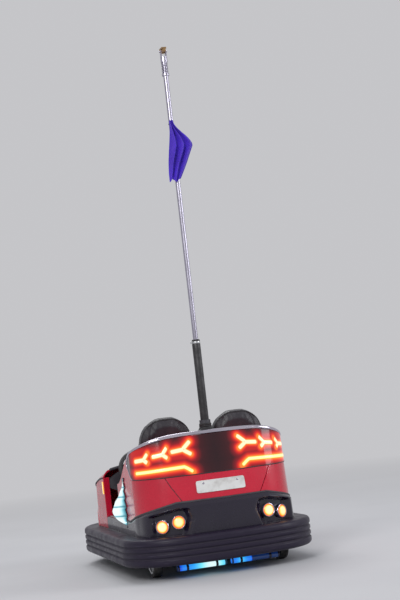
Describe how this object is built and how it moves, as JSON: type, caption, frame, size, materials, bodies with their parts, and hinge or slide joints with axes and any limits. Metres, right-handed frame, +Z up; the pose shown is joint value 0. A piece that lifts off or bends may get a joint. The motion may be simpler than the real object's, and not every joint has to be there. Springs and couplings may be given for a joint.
{
  "type": "two-seat dodgem bumper car with contact pole",
  "caption": "Electric fairground bumper car: rubber ring, moulded body with lit tail, bench seat, steered drive wheel, rear wheels and a tall current pole with pennant.",
  "frame": {"origin": "on the floor, under the centre of the bumper ring", "axes": "+Z up, the nose points to -Y, the driver's left is +X"},
  "size_m": [1.16, 1.96, 3.15],
  "materials": {
    "rubber": "satin",
    "steel": "satin",
    "cast": "matte",
    "tyre": "matte",
    "red_body": "gloss",
    "black_panel": "gloss",
    "smoked_lens": "gloss",
    "chrome": "gloss",
    "seat_vinyl": "satin",
    "moulding": "matte",
    "cloth": "matte",
    "white_plate": "satin",
    "bronze": "satin",
    "hub": "satin",
    "lit_red": "gloss",
    "lit_amber": "gloss",
    "lit_round": "gloss",
    "lit_white": "gloss",
    "lit_cyan": "gloss"
  },
  "bodies": {
    "root": {"bumper_ring": "rubber", "bumper_band": "steel", "floor_plate": "steel", "slewing_ring": "cast", "rear_axles": "steel", "under_lamp": "lit_cyan", "floor_mat": "moulding", "seat_base": "moulding", "seat_cushion": "seat_vinyl", "seat_back_left": "seat_vinyl", "seat_back_right": "seat_vinyl", "rear_shell": "red_body", "rear_deck": "red_body", "tail_lens": "smoked_lens", "tail_arrows": "lit_red", "amber_lamps": "lit_amber", "tail_trim": "chrome", "rear_valance": "black_panel", "lamp_bezels": "chrome", "lamp_lenses": "lit_round", "side_lamps": "lit_white", "number_plate": "white_plate", "front_shell": "red_body", "bonnet": "red_body", "headlamps": "lit_white", "nose_grille": "black_panel", "sills": "black_panel", "dash": "moulding", "steering_column": "steel", "pedal": "steel", "pole_socket": "steel", "pole_sleeve": "moulding", "pole": "steel", "pennant": "cloth", "contact_fork": "steel"},
    "drive_unit": {"drive_fork": "cast", "drive_motor": "cast"},
    "drive_wheel": {"drive_hub": "hub", "drive_tyre": "tyre"},
    "steering_wheel": {"steering_wheel": "rubber"},
    "rear_wheel_left": {"rear_hub_left": "hub", "rear_tyre_left": "tyre"},
    "rear_wheel_right": {"rear_hub_right": "hub", "rear_tyre_right": "tyre"},
    "contact_shoe": {"contact_shoe": "bronze"}
  },
  "joints": [
    {"name": "steer", "type": "hinge", "parent": "root", "child": "drive_unit", "pos_m": [0, -0.585, 0.125], "axis": [0, 0, 1], "continuous": true},
    {"name": "drive_wheel_spin", "type": "hinge", "parent": "drive_unit", "child": "drive_wheel", "pos_m": [0, -0.585, 0.125], "axis": [1, 0, 0], "continuous": true},
    {"name": "steering_wheel_turn", "type": "hinge", "parent": "root", "child": "steering_wheel", "pos_m": [0.224, -0.14456, 0.60204], "axis": [0, 0.788, 0.6157], "continuous": true},
    {"name": "rear_wheel_left_spin", "type": "hinge", "parent": "root", "child": "rear_wheel_left", "pos_m": [0.39, 0.622, 0.1], "axis": [1, 0, 0], "continuous": true},
    {"name": "rear_wheel_right_spin", "type": "hinge", "parent": "root", "child": "rear_wheel_right", "pos_m": [-0.39, 0.622, 0.1], "axis": [1, 0, 0], "continuous": true},
    {"name": "contact_rock", "type": "hinge", "parent": "root", "child": "contact_shoe", "pos_m": [0, 0.662, 3.128], "axis": [1, 0, 0], "range_deg": [-15, 15], "stiffness_Nm_per_rad": 2}
  ],
  "couplings": [
    {"joint": "steering_wheel_turn", "follows": "steer", "ratio": 1}
  ]
}
